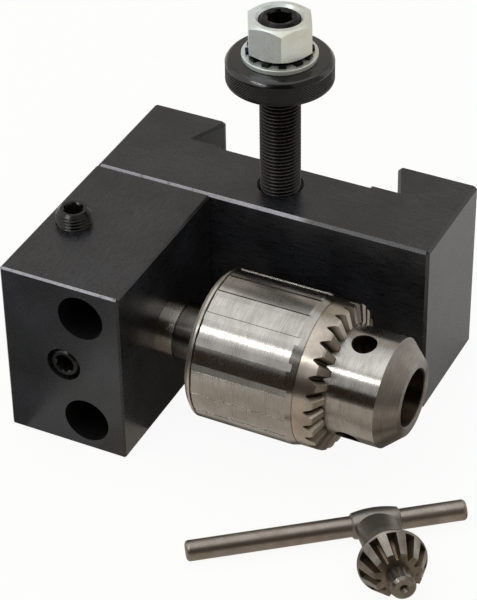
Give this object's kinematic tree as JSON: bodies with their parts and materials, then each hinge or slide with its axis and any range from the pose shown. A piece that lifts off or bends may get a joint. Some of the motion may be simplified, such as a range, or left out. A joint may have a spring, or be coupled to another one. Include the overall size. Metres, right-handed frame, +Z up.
{
  "type": "drill chuck holder",
  "caption": "Quick-change tool post holder with a bolted arm, locked arbor, keyed drill chuck, height stud and loose chuck key.",
  "frame": {"origin": "centre of the dovetail block's underside, on the plane the holder rests on", "axes": "+X along the chuck axis towards its nose, +Y towards the side with the dovetail slot, +Z up along the height stud"},
  "size_m": [0.1641, 0.1493, 0.1346],
  "materials": {
    "black_block": "black oxide over ground faces",
    "black_arm": "black oxide over ground faces",
    "black_screw": "black oxide",
    "black_stud": "black oxide",
    "black_nut": "black oxide, knurled",
    "zinc": "zinc plated",
    "arbor_steel": "ground shank, dark neck",
    "chuck_steel": "ground",
    "sleeve_steel": "ground barrel, machined teeth",
    "jaw_steel": "hardened and ground",
    "split_nut_steel": "hardened",
    "key_steel": "forged, machined teeth",
    "key_bar_steel": "drawn"
  },
  "bodies": {
    "holder": {"dovetail_block": "black_block", "chuck_arm": "black_arm", "arm_screws": "black_screw", "height_stud": "black_stud", "chuck_arbor": "arbor_steel", "chuck_body": "chuck_steel"},
    "top_set": {"top_set_screw": "black_screw"},
    "front_set": {"front_set_screw": "black_screw"},
    "washers": {"flat_washer": "zinc", "lock_washer": "zinc"},
    "height_nut": {"knurled_nut": "black_nut"},
    "lock_nut": {"hex_nut": "zinc"},
    "sleeve": {"chuck_sleeve": "sleeve_steel", "nut_half_a": "split_nut_steel", "nut_half_b": "split_nut_steel"},
    "first_jaw": {"jaw_1": "jaw_steel"},
    "second_jaw": {"jaw_2": "jaw_steel"},
    "third_jaw": {"jaw_3": "jaw_steel"},
    "key": {"key_body": "key_steel", "key_bar": "key_bar_steel"}
  },
  "joints": [
    {"name": "sleeve_turn", "type": "hinge", "parent": "holder", "child": "sleeve", "pos_m": [0.0006, -0.0558, 0.0338], "axis": [-1, 0, 0], "range_deg": [0, 5950.3]},
    {"name": "jaw_1_feed", "type": "slide", "parent": "holder", "child": "first_jaw", "axis": [0.9703, -0.0295, 0.2401], "range_m": [0, 0.02625]},
    {"name": "jaw_2_feed", "type": "slide", "parent": "holder", "child": "second_jaw", "axis": [0.9703, -0.1932, -0.1456], "range_m": [0, 0.02625]},
    {"name": "jaw_3_feed", "type": "slide", "parent": "holder", "child": "third_jaw", "axis": [0.9703, 0.2227, -0.0945], "range_m": [0, 0.02625]},
    {"name": "stack_travel", "type": "slide", "parent": "holder", "child": "washers", "axis": [0, 0, -1], "range_m": [0, 0.0411]},
    {"name": "height_nut_turn", "type": "hinge", "parent": "washers", "child": "height_nut", "pos_m": [0.0007, -0.006, 0.1105], "axis": [0, 0, -1], "range_deg": [0, 10459.8]},
    {"name": "lock_nut_turn", "type": "hinge", "parent": "washers", "child": "lock_nut", "pos_m": [0.0007, -0.006, 0.1105], "axis": [0, 0, -1], "range_deg": [0, 10459.8]},
    {"name": "top_set_out", "type": "slide", "parent": "holder", "child": "top_set", "axis": [0, 0, 1], "range_m": [0, 0.008]},
    {"name": "front_set_out", "type": "slide", "parent": "holder", "child": "front_set", "axis": [0, -1, 0], "range_m": [0, 0.008]},
    {"name": "key_lift", "type": "slide", "parent": "holder", "child": "key", "axis": [0, 0, 1], "range_m": [0, 0.06]}
  ],
  "couplings": [
    {"joint": "jaw_1_feed", "follows": "sleeve_turn", "m_per_rad": 0.00025266},
    {"joint": "jaw_2_feed", "follows": "sleeve_turn", "m_per_rad": 0.00025266},
    {"joint": "jaw_3_feed", "follows": "sleeve_turn", "m_per_rad": 0.00025266},
    {"joint": "stack_travel", "follows": "height_nut_turn", "m_per_rad": 0.00022459},
    {"joint": "lock_nut_turn", "follows": "height_nut_turn", "ratio": 1}
  ]
}
